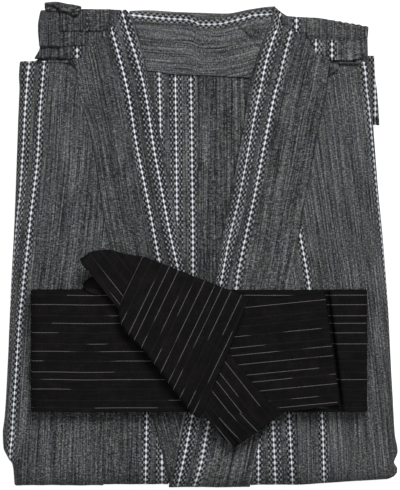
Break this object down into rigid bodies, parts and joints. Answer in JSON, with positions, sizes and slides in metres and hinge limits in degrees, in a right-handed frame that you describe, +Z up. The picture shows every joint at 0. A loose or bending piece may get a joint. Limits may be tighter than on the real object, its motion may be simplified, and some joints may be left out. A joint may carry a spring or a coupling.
{
  "type": "folded kimono robe with belt",
  "caption": "Folded men's cotton kimono robe with narrow woven stripes, front up, its stiff pinstriped belt folded and laid across it.",
  "frame": {"origin": "middle of the folded packet's box, on the surface that it lies on", "axes": "+X across the packet towards the wearer's left, +Y from the hem fold up to the collar, +Z up"},
  "size_m": [0.3163, 0.3888, 0.0528],
  "materials": {
    "robe_cloth": "charcoal grey ribbed cotton with narrow woven stripes of white dashes and black dots, matte",
    "belt_cloth": "near-black stiff woven cotton with thin broken grey pinstripes, matte"
  },
  "bodies": {
    "root": {"folded_core": "robe_cloth", "back_right": "robe_cloth", "back_left": "robe_cloth", "collar_neck": "robe_cloth", "front_right": "robe_cloth", "overlap_right": "robe_cloth", "collar_right": "robe_cloth", "front_left": "robe_cloth", "overlap_left": "robe_cloth", "collar_left": "robe_cloth", "front_right_pleat_3": "robe_cloth", "front_right_pleat_2": "robe_cloth", "front_right_pleat_1": "robe_cloth", "sleeve_right": "robe_cloth", "sleeve_right_corner": "robe_cloth", "front_left_pleat_2": "robe_cloth", "front_left_pleat_1": "robe_cloth", "sleeve_left": "robe_cloth", "belt_stack": "belt_cloth", "belt_strap": "belt_cloth", "belt_tail": "belt_cloth", "belt_over": "belt_cloth"}
  },
  "joints": []
}
